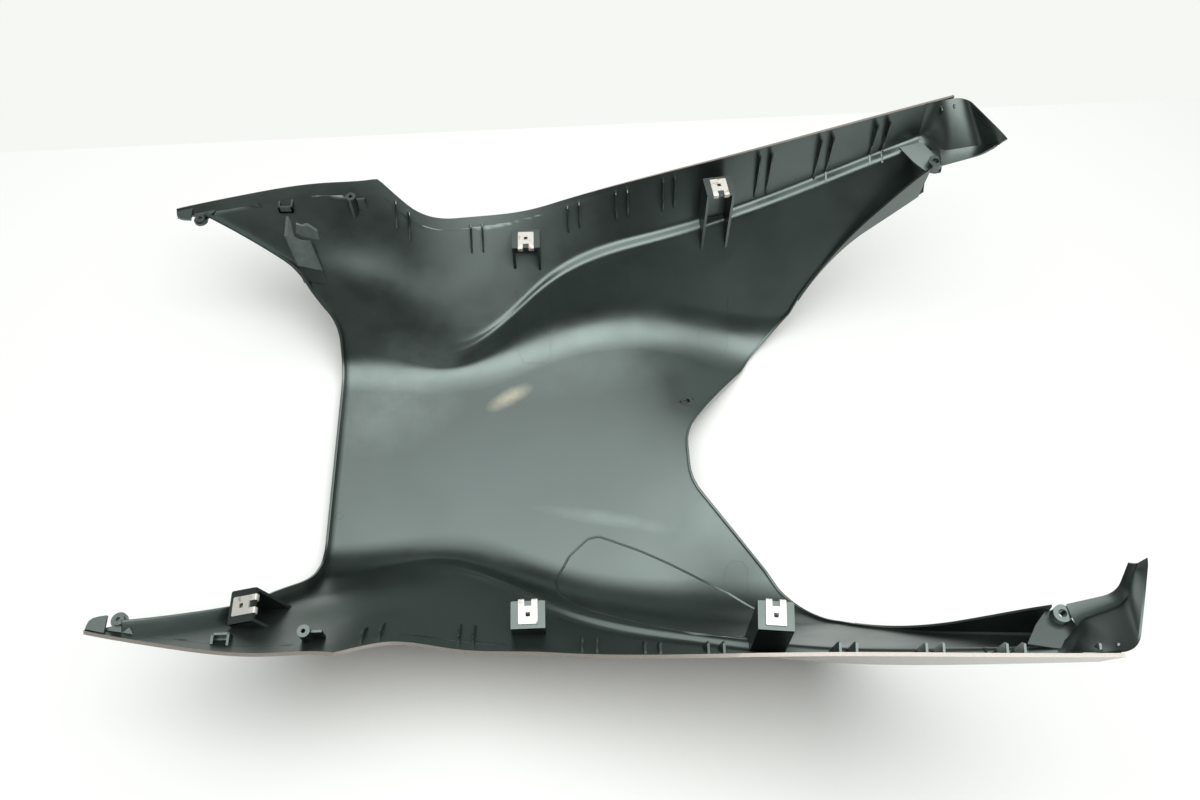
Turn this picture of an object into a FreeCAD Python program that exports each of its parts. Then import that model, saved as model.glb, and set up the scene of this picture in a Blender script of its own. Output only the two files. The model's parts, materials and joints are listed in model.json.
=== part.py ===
"""Lower fairing of a motor scooter: one moulded plastic shell and five sprung clip nuts.

Frame of the drawing: X runs from the tail arms to the nose arms, Y across, Z up out of the
trough, with the flat of the belly at Z = 0 and Y = 0 as the mirror plane.  The finished pieces
are then tipped about Y, so that the shell lies on its two belly lobes and its tail edge, and
moved so that the origin is under the middle of the bounding box.
"""
import FreeCAD, Part
import math
import os
from FreeCAD import Placement, Rotation, Vector

# Table of offsets, as for a boat: at each station the inside of the half section runs from the
# middle of the belly to the crease, up the bilge to the ledge, over the ledge and up to the rim.
STATION_SIZES = ("x", "crease_y", "crease_z", "ledge_y", "ledge_z", "ledge_w", "rim_y", "rim_z")
STATIONS = {
    "tail": (-20, 88, 0, 118, 40, 1, 175, 121),
    "arm": (50, 90, 0, 120, 37, 1, 192.5, 124.5),
    "hook": (120, 92, 0, 122, 33, 1, 202, 126),
    "peak": (166, 90, 0, 112, 24, 1, 202.5, 125.5),
    "waist": (215, 86, 0, 98, 13, 2, 191, 94.5),
    "belly": (300, 119, 0, 144, 46, 8, 197, 91),
    "bilge": (400, 138, -11, 178.5, 64.5, 9, 209, 111),
    "lobe": (500, 132, -47, 200, 83, 9, 220, 136),
    "cheek": (600, 138, -30, 216, 120, 9, 232, 159.5),
    "nose": (700, 150, 7, 229, 157, 8, 243, 182),
}
# Pairs of upright ribs under the rim: place along X and drop below the rim.
RIBS = {
    "one": (184, 22), "two": (245, 20), "three": (330, 22), "four": (372, 26), "five": (413, 32),
    "six": (495, 48), "seven": (546.5, 46), "eight": (593, 40), "nine": (645, 20),
}
SIZES = {
    "wall": 2.5, "crease_round": 45, "ledge_rise": 0.15, "rim_spare": 45,
    # side view: the rim line, the nose end and the tail cut-out
    "tip_x": 0, "tip_top": 122.5, "tip_low": 115.5, "tip_round": 3,
    "peak_corner_x": 166, "peak_corner_z": 127, "peak_round": 6,
    "dip_x": 205, "dip_z": 92, "dip_round": 75,
    "rise_x": 270, "rise_z": 85, "rise_round": 235,
    "end_x": 659, "end_y": 236, "end_z": 170, "end_round": 2, "foot_x": 653, "heel_x": 637,
    "tail_x": 122, "tail_bend_z": 33, "tail_round": 35,
    "arm_bend_x": 90, "arm_bend_z": 74, "arm_round": 60, "arm_root_x": 22, "arm_root_z": 116,
    "lip": 8.5, "bead": 2.5,
    # plan view: the nose cut-out
    "cut_x": 421, "cut_half": 24, "cut_round": 45,
    "cut_side_x": 500, "cut_side_y": 129, "cut_side_round": 160,
    "cut_arm_x": 560, "cut_arm_y": 177, "cut_arm_round": 160,
    "cut_end_x": 640, "cut_end_y": 201,
    # ribs under the rim
    "rib_thick": 1.6, "rib_space": 10, "rib_below_rim": 4,
    # box towers: middle of the top face, size and wall
    "tower_w": 24, "tower_d": 20, "tower_wall": 2.2, "tower_top": 2.5, "tower_drop": 90,
    "mid_x": 288, "mid_y": 168.5, "mid_z": 85, "mid_turn": 0,
    "fore_x": 453.5, "fore_y": 189, "fore_z": 121.5, "fore_turn": 6,
    "aft_x": 94, "aft_y": 160, "aft_z": 101, "aft_tilt": 20,
    "break_low": 22, "break_high": 34,
    "flap_x": 106, "flap_y": 148, "flap_z": 62, "flap_w": 19, "flap_h": 39, "flap_lean": 38, "flap_twist": 17,
    # clip nuts for 5 mm screws
    "nut_thick": 0.8, "nut_w": 13.5, "nut_back": 7, "nut_play": 0.1, "nut_bore": 4.2,
    "nut_collar": 8, "nut_collar_len": 4, "nut_slot_w": 5, "nut_slot_l": 4, "screw_hole": 7,
    # screw posts, tip bosses and nose lugs
    "post_x": 144, "post_y": 187.5, "post_z": 124, "post_dia": 8.5, "post_bore": 3,
    "fin_l": 11, "fin_thick": 1.6, "fin_below": 4,
    "tip_boss_x": 20, "tip_boss_y": 173, "tip_boss_z": 119.5, "tip_boss_dia": 8, "tip_boss_len": 9,
    "lug_x": 637, "lug_y": 199, "lug_z": 133, "lug_dia": 12, "lug_len": 5.5, "lug_bore": 5.6,
    "flange_x": 680, "flange_y": 179.5, "flange_z": 176.5, "flange_depth": 10, "flange_round": 4,
    "flange_low_x": 669, "flange_low_y": 192, "flange_low_z": 147, "web_x": 643, "web_z": 130,
    "hook_x": 88, "hook_y": 179, "hook_z": 117, "hook_l": 12, "hook_d": 24, "hook_h": 7,
    "hook_wall": 1.6,
    # drain hole in the belly
    "drain_x": 424, "drain_y": 56, "drain_dia": 6,
}
SPAN = 700.0       # half length of the cutting prisms, past every edge of the part
FAR, NEAR = 1, -1  # the two sides, by the sign of Y
FINE = 0.1         # mesh size for measuring the finished shell
NEARLY = 0.001     # tolerance for cutting the free-form skin
CREASE_STEPS = 2   # points of the crease's arc on each side of its middle

doc = FreeCAD.newDocument("LowerFairing")
sheet = doc.addObject("Spreadsheet::Sheet", "Sizes")


def fill_sheet():
    """Writes every size as a number with its own alias, one to a row."""
    sizes = dict(SIZES)
    for station, row in STATIONS.items():
        sizes.update({f"{name}_{station}": value for name, value in zip(STATION_SIZES, row)})
    for rib, (x, drop) in RIBS.items():
        sizes[f"rib_x_{rib}"] = x
        sizes[f"rib_drop_{rib}"] = drop
    for row, (alias, value) in enumerate(sizes.items(), start=1):
        sheet.set(f"A{row}", alias)
        sheet.set(f"B{row}", str(value))
        sheet.setAlias(f"B{row}", alias)
    doc.recompute()
    return {alias: float(sheet.get(alias)) for alias in sizes}


S = fill_sheet()


def feature(label, shape):
    """A plain feature with a shape made in code, for free-form outlines."""
    obj = doc.addObject("Part::Feature", label)
    obj.Shape = shape
    return obj


def box(label, sizes, corner, at=Placement()):
    """A box whose three sizes are expressions, with its low corner at a local point."""
    obj = doc.addObject("Part::Box", label)
    for side, size in zip(("Length", "Width", "Height"), sizes):
        obj.setExpression(side, size)
    obj.Placement = at.multiply(Placement(Vector(*corner), Rotation()))
    return obj


def rod(label, dia, height, foot, at=Placement()):
    """An upright cylinder whose diameter and height are expressions."""
    obj = doc.addObject("Part::Cylinder", label)
    obj.setExpression("Radius", f"({dia}) / 2")
    obj.setExpression("Height", height)
    obj.Placement = at.multiply(Placement(Vector(*foot), Rotation()))
    return obj


def cut(label, base, tool):
    obj = doc.addObject("Part::Cut", label)
    obj.Base, obj.Tool = base, tool
    return obj


def common(label, base, tool):
    obj = doc.addObject("Part::Common", label)
    obj.Base, obj.Tool = base, tool
    return obj


def join(label, pieces):
    obj = doc.addObject("Part::MultiFuse", label)
    obj.Shapes = pieces
    return obj


def group(label, pieces):
    obj = doc.addObject("Part::Compound", label)
    obj.Links = pieces
    return obj


def prism(label, outline, direction, length):
    """A closed outline carried both ways along a direction."""
    obj = doc.addObject("Part::Extrusion", label)
    obj.Base = outline
    obj.DirMode = "Custom"
    obj.Dir = direction
    obj.LengthFwd = length
    obj.Solid = True
    obj.Symmetric = True
    return obj


def rounded(points):
    """A closed wire through (u, v, radius) corners, each corner an arc tangent to its sides."""
    edges, count = [], len(points)
    ends = []
    for i, (u, v, radius) in enumerate(points):
        here = Vector(u, v, 0)
        back = (Vector(*points[i - 1][:2], 0) - here).normalize()
        ahead = (Vector(*points[(i + 1) % count][:2], 0) - here).normalize()
        half = back.getAngle(ahead) / 2
        reach = radius / math.tan(half)
        middle = (back + ahead).normalize() * (radius / math.sin(half) - radius)
        ends.append((here + back * reach, here + middle, here + ahead * reach, radius))
    for i, (start, middle, stop, radius) in enumerate(ends):
        if radius:
            edges.append(Part.Arc(start, middle, stop).toShape())
        edges.append(Part.makeLine(stop, ends[(i + 1) % count][0]))
    return Part.Wire(edges)


def inset(points, depth):
    """The closed outline moved inwards by depth: corners slide on bisectors, arcs keep their centres."""
    area = sum(a[0] * b[1] - b[0] * a[1] for a, b in zip(points, points[1:] + points[:1]))
    turn = math.copysign(1, area)
    moved = []
    for i, (u, v, radius) in enumerate(points):
        here = Vector(u, v, 0)
        before = (here - Vector(*points[i - 1][:2], 0)).normalize()
        after = (Vector(*points[(i + 1) % len(points)][:2], 0) - here).normalize()
        inward = [Vector(-d.y, d.x, 0) * turn for d in (before, after)]
        here = here + (inward[0] + inward[1]) * (depth / (1 + inward[0].dot(inward[1])))
        convex = (before.x * after.y - before.y * after.x) * turn > 0
        if radius:
            radius = radius - depth if convex else radius + depth
        moved.append((here.x, here.y, radius))
    return moved


# Hull sections and hull solids

def half_section(station, offset):
    """Points (y, z) of one half section, moved outwards by offset; the crease is an arc of points."""
    def size(name):
        return S[f"{name}_{station}"]
    keel = Vector(0, 0, 0)
    crease = Vector(size("crease_y"), size("crease_z"), 0)
    ledge = Vector(size("ledge_y"), size("ledge_z"), 0)
    shelf = ledge + Vector(1, S["ledge_rise"], 0) * size("ledge_w")
    rim = Vector(size("rim_y"), size("rim_z"), 0)
    top = rim + (rim - shelf) * (S["rim_spare"] / (rim.y - shelf.y))
    back, ahead = (keel - crease).normalize(), (ledge - crease).normalize()
    half = back.getAngle(ahead) / 2
    reach = min(S["crease_round"] / math.tan(half), 0.45 * (ledge - crease).Length)
    radius, inwards = reach * math.tan(half), (back + ahead).normalize()
    centre, sideways = crease + inwards * (radius / math.sin(half)), (ahead - back).normalize()
    turns = [(math.pi / 2 - half) * step / CREASE_STEPS for step in range(-CREASE_STEPS, CREASE_STEPS + 1)]
    arc = [centre + (sideways * math.sin(turn) - inwards * math.cos(turn)) * radius for turn in turns]
    line = [keel] + arc + [ledge, shelf, top]
    return shifted(line, offset)


def shifted(line, offset):
    """The open outline moved to its outer side, with its corners mitred; its first point is mirrored."""
    normals = []
    for a, b in zip(line, line[1:]):
        along = (b - a).normalize()
        normals.append(Vector(along.y, -along.x, 0))
    normals = [Vector(-normals[0].x, normals[0].y, 0)] + normals + [normals[-1]]
    moved = []
    for point, before, after in zip(line, normals, normals[1:]):
        moved.append(point + (before + after) * (offset / (1 + before.dot(after))))
    return moved


def hull(label, offset, spare):
    """The solid hull with its skin moved outwards by offset and its open top raised by spare.

    Each corner of the section runs through the stations on a smooth curve along X, and the skin is
    ruled between neighbouring curves.
    """
    sections = []
    for name in STATIONS:
        x = S[f"x_{name}"]
        half = half_section(name, offset)
        half[-1] = half[-1] + (half[-1] - half[-2]).normalize() * spare
        ring = [Vector(x, -p.x, p.y) for p in reversed(half[1:])] + [Vector(x, p.x, p.y) for p in half]
        sections.append(ring)
    lines = []
    for points in zip(*sections):
        curve = Part.BSplineCurve()
        curve.interpolate(Points=list(points), Parameters=[p.x for p in points])
        lines.append(curve.toShape())
    faces = [Part.makeRuledSurface(a, b) for a, b in zip(lines, lines[1:] + lines[:1])]
    for ring in (sections[0], sections[-1]):
        faces.append(Part.Face(Part.makePolygon(ring + ring[:1])))
    skin = Part.makeShell(faces)
    skin.sewShape()
    solid = Part.makeSolid(skin)
    if solid.Volume < 0:
        solid.reverse()
    return feature(label, solid)


TOP_STEP = 6.0  # each inner hull stands this much higher, so that its cut is open at the top
outer = hull("hull_outer", S["wall"], 0)
middle = hull("hull_middle", S["wall"] / 2, TOP_STEP)
inner = hull("hull_inner", 0, 2 * TOP_STEP)
bead_depth = hull("hull_bead", -S["bead"], 3 * TOP_STEP)
lip_depth = hull("hull_lip", -S["lip"], 3 * TOP_STEP)

# Side outline: rim line, nose end and tail cut-out, in X and Z; the nose end stops under the web

def web_height(x):
    """Top of the web at the nose end: level behind web_x, then rising to the flange's low corner."""
    slope = (S["flange_low_z"] - S["web_z"]) / (S["flange_low_x"] - S["web_x"])
    return S["web_z"] + max(0, x - S["web_x"]) * slope


DEEP = -150.0
tail_path = [
    (S["tail_x"], DEEP, 0),
    (S["tail_x"], S["tail_bend_z"], S["tail_round"]),
    (S["arm_bend_x"], S["arm_bend_z"], S["arm_round"]),
    (S["arm_root_x"], S["arm_root_z"], 0),
    (S["tip_x"], S["tip_low"], S["tip_round"]),
]
side_points = tail_path + [
    (S["tip_x"], S["tip_top"], S["tip_round"]),
    (S["peak_corner_x"], S["peak_corner_z"], S["peak_round"]),
    (S["dip_x"], S["dip_z"], S["dip_round"]),
    (S["rise_x"], S["rise_z"], S["rise_round"]),
    (S["end_x"], S["end_z"], S["end_round"]),
    (S["foot_x"], web_height(S["foot_x"]) - S["wall"], 0),
    (S["web_x"], S["web_z"] - S["wall"], 0),
    (S["heel_x"], S["web_z"] - S["wall"], 0),
    (S["heel_x"], DEEP, 0),
]
# Plan outline of the nose cut-out, in X and Y
half_cut = [
    (S["cut_x"], S["cut_half"], S["cut_round"]),
    (S["cut_side_x"], S["cut_side_y"], S["cut_side_round"]),
    (S["cut_arm_x"], S["cut_arm_y"], S["cut_arm_round"]),
    (S["cut_end_x"], S["cut_end_y"], 0),
    (S["cut_end_x"] + SPAN, S["cut_end_y"], 0),
]
nose_path = [(x, -y, r) for x, y, r in reversed(half_cut)] + half_cut
UPRIGHT = Placement(Vector(), Rotation(Vector(1, 0, 0), 90))
ACROSS, UP = Vector(0, 1, 0), Vector(0, 0, 1)


def side_prism(label, points):
    outline = feature(f"{label}_outline", Part.Face(rounded(points)))
    outline.Placement = UPRIGHT
    return prism(label, outline, ACROSS, SPAN)


def plan_prism(label, points):
    return prism(label, feature(f"{label}_outline", Part.Face(rounded(points))), UP, SPAN)


def band(path, moved):
    """The closed strip between an open path and the same path moved sideways, square at its ends."""
    there, back = list(path), list(reversed(moved[:len(path)]))
    for strip in (there, back):
        strip[0], strip[-1] = (*strip[0][:2], 0), (*strip[-1][:2], 0)
    return there + back


side = side_prism("side", side_points)
nose_cut = plan_prism("nose_cut", nose_path)

# Lip along the tail cut-out, bead along the nose cut-out and ribs under the rim: bands and plates,
# less the hull at the depth that is kept
tail_band = side_prism("tail_band", band(tail_path, inset(side_points, S["wall"])))
nose_band = plan_prism("nose_band", band(nose_path, inset(nose_path, -S["wall"])))


def rim_height(x):
    """Height of the rim line at x, before its corners are rounded."""
    corners = [(u, v) for u, v, _ in side_points[5:10]]
    for (x0, z0), (x1, z1) in zip(corners, corners[1:]):
        if x <= x1:
            break
    return z0 + (x - x0) * (z1 - z0) / (x1 - x0)


def rib_pair(name):
    """Two upright plates right across the trough, which the lip's depth leaves on the side walls only."""
    x = S[f"rib_x_{name}"]
    low = rim_height(x) - S[f"rib_drop_{name}"]
    plates = []
    for step in (-0.5, 0.5):
        corner = (x + step * S["rib_space"] - S["rib_thick"] / 2, -SPAN / 2, low)
        sizes = ("Sizes.rib_thick", f"{SPAN} mm", f"Sizes.rib_drop_{name} - Sizes.rib_below_rim")
        plates.append(box(f"rib_{name}_{len(plates)}", sizes, corner))
    return plates


ribs = [plate for name in RIBS for plate in rib_pair(name)]
lips_and_ribs = cut("lips_and_ribs", group("bands_and_ribs", [tail_band] + ribs), lip_depth)
bead = cut("bead", nose_band, bead_depth)


# Box towers that carry the clip nuts: a top plate on three walls, open towards the trough

def turned(x, y, z, *turns):
    """A placement at a point, turned about each (axis, degrees) in order."""
    spin = Rotation()
    for axis, degrees in turns:
        spin = spin.multiply(Rotation(axis, degrees))
    return Placement(Vector(x, y, z), spin)


def tower_places():
    """Middle of each tower's top face, its open side turned to the trough or, at the tail, along X."""
    places = {}
    for side_name, sign in (("far", FAR), ("near", NEAR)):
        inwards = 0 if sign == FAR else 180
        for name in ("mid", "fore"):
            turn = inwards + sign * S[f"{name}_turn"]
            places[f"{name}_{side_name}"] = turned(
                S[f"{name}_x"], sign * S[f"{name}_y"], S[f"{name}_z"], (UP, turn))
        places[f"aft_{side_name}"] = turned(
            S["aft_x"], sign * S["aft_y"], S["aft_z"], (ACROSS, -S["aft_tilt"]), (UP, 90))
    return places


def tower(name, at):
    wide, deep, wall, drop = S["tower_w"], S["tower_d"], S["tower_wall"], S["tower_drop"]
    block = box(f"tower_{name}_block", ("Sizes.tower_w", "Sizes.tower_d", "Sizes.tower_drop"),
                (-wide / 2, -deep / 2, -drop), at)
    hollow = box(f"tower_{name}_hollow",
                 ("Sizes.tower_w - 2 * Sizes.tower_wall", "Sizes.tower_d", "Sizes.tower_drop"),
                 (wall - wide / 2, -wall - deep / 2, -drop - S["tower_top"]), at)
    hole = rod(f"tower_{name}_hole", "Sizes.screw_hole", "3 * Sizes.tower_top",
               (0, 0, -2 * S["tower_top"]), at)
    return cut(f"tower_{name}", block, join(f"tower_{name}_space", [hollow, hole]))


def broken(base, name, at):
    """The tower with its top snapped off along a ragged line and its inner wall bent back."""
    wide, low, high = S["tower_w"], -S["break_low"], -S["break_high"]
    ragged = [(-wide, low), (-0.3 * wide, low - 3), (-0.1 * wide, low + 2), (0.2 * wide, high),
              (0.35 * wide, high + 4), (wide, high)]
    points = [Vector(u, 0, v) for u, v in ragged] + [Vector(wide, 0, wide), Vector(-wide, 0, wide)]
    outline = feature(f"{name}_break_outline", Part.Face(Part.makePolygon(points + points[:1])))
    outline.Placement = at
    snapped = prism(f"{name}_break", outline, at.Rotation.multVec(ACROSS), 4 * wide)
    lean = turned(S["flap_x"], S["flap_y"], S["flap_z"], (Vector(1, 0, 0), -S["flap_lean"]),
                  (ACROSS, -S["flap_twist"]))
    flap = box(f"{name}_flap", ("Sizes.flap_w", "Sizes.tower_wall", "Sizes.flap_h"),
               (-S["flap_w"] / 2, 0, 0), lean)
    return join(f"{name}_stub", [cut(f"{name}_walls", base, snapped), flap])


places = tower_places()
towers = {name: tower(name, at) for name, at in places.items()}
BROKEN = "aft_far"
towers[BROKEN] = broken(towers[BROKEN], BROKEN, places.pop(BROKEN))


# Screw posts with a fin, bosses at the arm tips and small trays under the rim

def both_sides(make):
    return [make(sign, side_name) for side_name, sign in (("far", FAR), ("near", NEAR))]


def post(sign, side_name):
    foot = (S["post_x"], sign * S["post_y"], S["post_z"] - S["tower_drop"])
    barrel = rod(f"post_{side_name}", "Sizes.post_dia", "Sizes.tower_drop", foot)
    fin = box(f"post_fin_{side_name}", ("Sizes.fin_l", "Sizes.fin_thick", "Sizes.tower_drop"),
              (foot[0], foot[1] - S["fin_thick"] / 2, foot[2] - S["fin_below"]))
    return join(f"post_and_fin_{side_name}", [barrel, fin])


def tip_boss(sign, side_name):
    foot = (S["tip_boss_x"], sign * S["tip_boss_y"], S["tip_boss_z"] - S["tip_boss_len"])
    return rod(f"tip_boss_{side_name}", "Sizes.tip_boss_dia", "Sizes.tip_boss_len", foot)


def tray(sign, side_name):
    long, deep, wall = S["hook_l"], S["hook_d"], S["hook_wall"]
    front = S["hook_y"] if sign == FAR else -S["hook_y"] - deep
    inside = front + wall if sign == FAR else front - wall
    low = S["hook_z"] - S["hook_h"]
    block = box(f"tray_{side_name}_block", ("Sizes.hook_l", "Sizes.hook_d", "Sizes.hook_h"),
                (S["hook_x"] - long / 2, front, low))
    hollow = box(f"tray_{side_name}_hollow",
                 ("Sizes.hook_l - 2 * Sizes.hook_wall", "Sizes.hook_d", "Sizes.hook_h"),
                 (S["hook_x"] - long / 2 + wall, inside, low + wall))
    return cut(f"tray_{side_name}", block, hollow)


small = both_sides(post) + both_sides(tip_boss) + both_sides(tray)
skin = cut("skin", outer, inner)
doc.recompute()
walls = feature("walls", skin.Shape.common([side.Shape], NEARLY).cut([nose_cut.Shape], NEARLY))
fittings = join("fittings", [lips_and_ribs, bead] + list(towers.values()) + small)
inside = common("inside", common("fittings_side", fittings, side), middle)
trough = join("trough", [walls, inside])


# Nose ends: a flange that turns inwards, a web along its foot and a lug with a through hole

def flange(sign, side_name):
    """A plate in the plane of the rim's end, the flange's tip and its low corner, out past the wall.

    Its foot follows the web: from the low corner it runs where the two planes meet.
    """
    end = Vector(S["end_x"], sign * S["end_y"], S["end_z"])
    tip = Vector(S["flange_x"], sign * S["flange_y"], S["flange_z"])
    low = Vector(S["flange_low_x"], sign * S["flange_low_y"], S["flange_low_z"])
    across = (end - tip).normalize()
    normal = across.cross(low - tip).normalize()
    if normal.x < 0:
        normal = -normal
    down = normal.cross(across).normalize()
    if down.z > 0:
        down = -down
    rise = Vector(low.x - S["web_x"], 0, low.z - S["web_z"])
    foot = normal.cross(rise.cross(ACROSS))
    reach = (end - tip).Length + S["wall"]
    stop = low + foot * ((reach - (low - tip).dot(across)) / foot.dot(across))
    corners = [(0, 0, S["flange_round"]), (reach, 0, 0), (reach, (stop - tip).dot(down), 0),
               ((low - tip).dot(across), (low - tip).dot(down), 0), (0, S["flange_depth"], S["flange_round"])]
    face = Part.Face(rounded(corners))
    face.Placement = Placement(tip, Rotation(across, down, across.cross(down), "ZXY"))
    return feature(f"flange_{side_name}", face.extrude(-normal * S["wall"]))


def web(sign, side_name):
    """The shelf from the lug up to the flange: a bent strip seen from the side, carried out to the wall."""
    stops = (S["lug_x"] - S["lug_dia"], S["web_x"], S["flange_low_x"])
    line = [(x, web_height(x)) for x in stops]
    strip = line + [(x, z - S["wall"]) for x, z in reversed(line)]
    corners = [Vector(x, sign * S["flange_low_y"], z) for x, z in strip]
    face = Part.Face(Part.makePolygon(corners + corners[:1]))
    return feature(f"web_{side_name}", face.extrude(ACROSS * (sign * (S["end_y"] - S["flange_low_y"]))))


def lug(sign, side_name):
    foot = (S["lug_x"], sign * S["lug_y"], S["lug_z"] - S["lug_len"])
    return rod(f"lug_{side_name}", "Sizes.lug_dia", "Sizes.lug_len", foot)


def nose_end(sign, side_name):
    plates = join(f"plates_{side_name}", [flange(sign, side_name), web(sign, side_name)])
    kept = common(f"plates_kept_{side_name}", plates, middle)
    return join(f"nose_end_{side_name}", [kept, lug(sign, side_name)])


body = join("body", [trough] + both_sides(nose_end))


# Bores: posts, tip bosses, lugs and the drain hole in the belly

def side_bores(sign, side_name):
    post_bore = rod(f"post_bore_{side_name}", "Sizes.post_bore", "Sizes.post_dia * 2",
                    (S["post_x"], sign * S["post_y"], S["post_z"] - 2 * S["post_dia"] + 1))
    tip_bore = rod(f"tip_bore_{side_name}", "Sizes.post_bore", "Sizes.tip_boss_len",
                   (S["tip_boss_x"], sign * S["tip_boss_y"], S["tip_boss_z"] - S["tip_boss_len"] + 2))
    lug_bore = rod(f"lug_bore_{side_name}", "Sizes.lug_bore", "Sizes.lug_len * 2",
                   (S["lug_x"], sign * S["lug_y"], S["lug_z"] - 1.5 * S["lug_len"]))
    return [post_bore, tip_bore, lug_bore]


drain = rod("drain", "Sizes.drain_dia", "Sizes.wall * 20", (S["drain_x"], S["drain_y"], -10 * S["wall"]))
bores = [one for pair in both_sides(side_bores) for one in pair] + [drain]
shell = cut("shell", body, group("bores", bores))


# Clip nut: a sprung strip folded over the open edge of a tower's top plate, with a threaded collar

def clip_nut():
    thick, play, plate = S["nut_thick"], S["nut_play"], S["tower_top"]
    front = -S["tower_d"] / 2 - play - thick
    left = -S["nut_w"] / 2
    length = "Sizes.tower_d / 2 + Sizes.nut_play + Sizes.nut_thick + Sizes.nut_back"
    upper = box("nut_upper", ("Sizes.nut_w", length, "Sizes.nut_thick"), (left, front, play))
    under = -plate - play - thick
    lower = box("nut_lower", ("Sizes.nut_w", length, "Sizes.nut_thick"), (left, front, under))
    grip = "Sizes.tower_top + 2 * Sizes.nut_play + 2 * Sizes.nut_thick"
    fold = box("nut_fold", ("Sizes.nut_w", "Sizes.nut_thick", grip), (left, front, under))
    collar = rod("nut_collar_rod", "Sizes.nut_collar", "Sizes.nut_collar_len + Sizes.nut_thick",
                 (0, 0, under - S["nut_collar_len"]))
    hole = rod("nut_hole", "Sizes.nut_bore", "2 * Sizes.tower_drop", (0, 0, -S["tower_drop"]))
    slot = box("nut_slot", ("Sizes.nut_slot_w", "2 * Sizes.nut_slot_l", "2 * Sizes.tower_drop"),
               (-S["nut_slot_w"] / 2, front - S["nut_slot_l"], -S["tower_drop"]))
    blank = join("nut_blank", [upper, lower, fold, collar])
    return cut("clip_nut", blank, group("nut_openings", [hole, slot]))


nut = clip_nut()
doc.recompute()


# Laying the part down: tipped until the lobes touch the plane of the tail edge

def resting():
    """The placement that rests the shell on its tail edge and lobes, centred over the origin."""
    heel = Vector(S["tail_x"], 0, -S["wall"])
    points = shell.Shape.tessellate(FINE)[0]
    tip = max(math.atan2(heel.z - p.z, p.x - heel.x) for p in points if p.x > S["x_belly"])
    turn = Rotation(ACROSS, -math.degrees(tip))
    laid = [turn.multVec(p) for p in points]
    ends = [p.x for p in laid]
    return Placement(Vector(-(min(ends) + max(ends)) / 2, 0, -min(p.z for p in laid)), turn)


rest = resting()
fairing_shell = feature("fairing_shell", shell.Shape)
fairing_shell.Placement = rest
copies = []
for name, at in places.items():
    one = feature(f"clip_nut_{name}", nut.Shape)
    one.Placement = rest.multiply(at)
    copies.append(one)
clip_nuts = group("clip_nuts", copies)
doc.recompute()

for obj in doc.Objects:
    if "Invalid" in obj.State or "Error" in obj.State:
        raise RuntimeError(f"{obj.Label} failed: {obj.State}")
os.makedirs("parts", exist_ok=True)
for node, solids in ((fairing_shell, 1), (clip_nuts, len(places))):
    shape = node.Shape
    if shape.isNull() or not shape.isValid() or len(shape.Solids) != solids:
        raise RuntimeError(f"{node.Label} has {len(shape.Solids)} solids, valid {shape.isValid()}")
    shape.exportStep(f"parts/{node.Label}.step")
    print(node.Label, round(shape.Volume), shape.BoundBox)
print("tipped by", round(rest.Rotation.Angle * 180 / math.pi, 2), "degrees")
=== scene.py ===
# %% [markdown]
# # The lower fairing of a motor scooter
# The part is one black plastic moulding, a trough that is open at both ends, with five sprung metal
# nuts pushed over its box towers.  It lies on a white table with its inside up.  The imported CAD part
# gives the frame: every surface here is worked out with numpy in the drawing's millimetres and then
# laid down as the CAD part is.

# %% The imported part
import json
import math

import bpy
import numpy as np
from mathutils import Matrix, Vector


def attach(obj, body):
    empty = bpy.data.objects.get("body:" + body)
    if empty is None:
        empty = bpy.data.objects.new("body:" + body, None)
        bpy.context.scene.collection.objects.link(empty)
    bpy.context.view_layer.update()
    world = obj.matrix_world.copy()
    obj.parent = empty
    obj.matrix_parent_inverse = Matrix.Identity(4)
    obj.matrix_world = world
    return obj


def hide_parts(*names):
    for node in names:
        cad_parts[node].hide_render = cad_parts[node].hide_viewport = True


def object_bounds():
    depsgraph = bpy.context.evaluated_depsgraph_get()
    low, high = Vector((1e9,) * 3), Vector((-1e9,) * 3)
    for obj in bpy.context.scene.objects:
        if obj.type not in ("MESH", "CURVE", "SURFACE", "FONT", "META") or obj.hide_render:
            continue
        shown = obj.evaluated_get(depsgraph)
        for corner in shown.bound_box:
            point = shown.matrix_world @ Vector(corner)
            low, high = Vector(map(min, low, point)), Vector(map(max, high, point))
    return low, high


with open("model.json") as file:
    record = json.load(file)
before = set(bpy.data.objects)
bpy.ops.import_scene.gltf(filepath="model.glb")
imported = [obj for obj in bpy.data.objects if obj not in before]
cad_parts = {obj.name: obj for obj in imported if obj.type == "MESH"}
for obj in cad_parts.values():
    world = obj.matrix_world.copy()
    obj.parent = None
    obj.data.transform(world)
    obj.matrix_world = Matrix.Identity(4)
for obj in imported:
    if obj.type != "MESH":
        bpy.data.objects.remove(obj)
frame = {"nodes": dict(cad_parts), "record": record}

cad_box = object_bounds()
mounts = {mount["name"]: mount for mount in frame["record"]["mounts"]}
print("nodes", sorted(frame["nodes"]), "mounts", len(mounts))

# %% [markdown]
# ## From the drawing to the table
# In the drawing X runs from the tail arms to the nose arms, Y across and Z up, with the belly at
# zero.  The real part tips over until its lobes touch the table.  One mount is enough to find that
# move: the lug's axis gives the tip, and its place gives the shift.

# %% Laying the drawing down
MM = 0.001
LUG_MIDDLE = np.array([637.0, 199.0, 130.25])  # middle of the far nose lug's bore in the drawing
lug_axis = mounts["lug_far"]["axis"]
lean = math.atan2(lug_axis[0], lug_axis[2])
TURN = np.array([[math.cos(lean), 0, math.sin(lean)], [0, 1, 0], [-math.sin(lean), 0, math.cos(lean)]])
SHIFT = np.array(mounts["lug_far"]["pos_m"]) / MM - TURN @ LUG_MIDDLE


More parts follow.
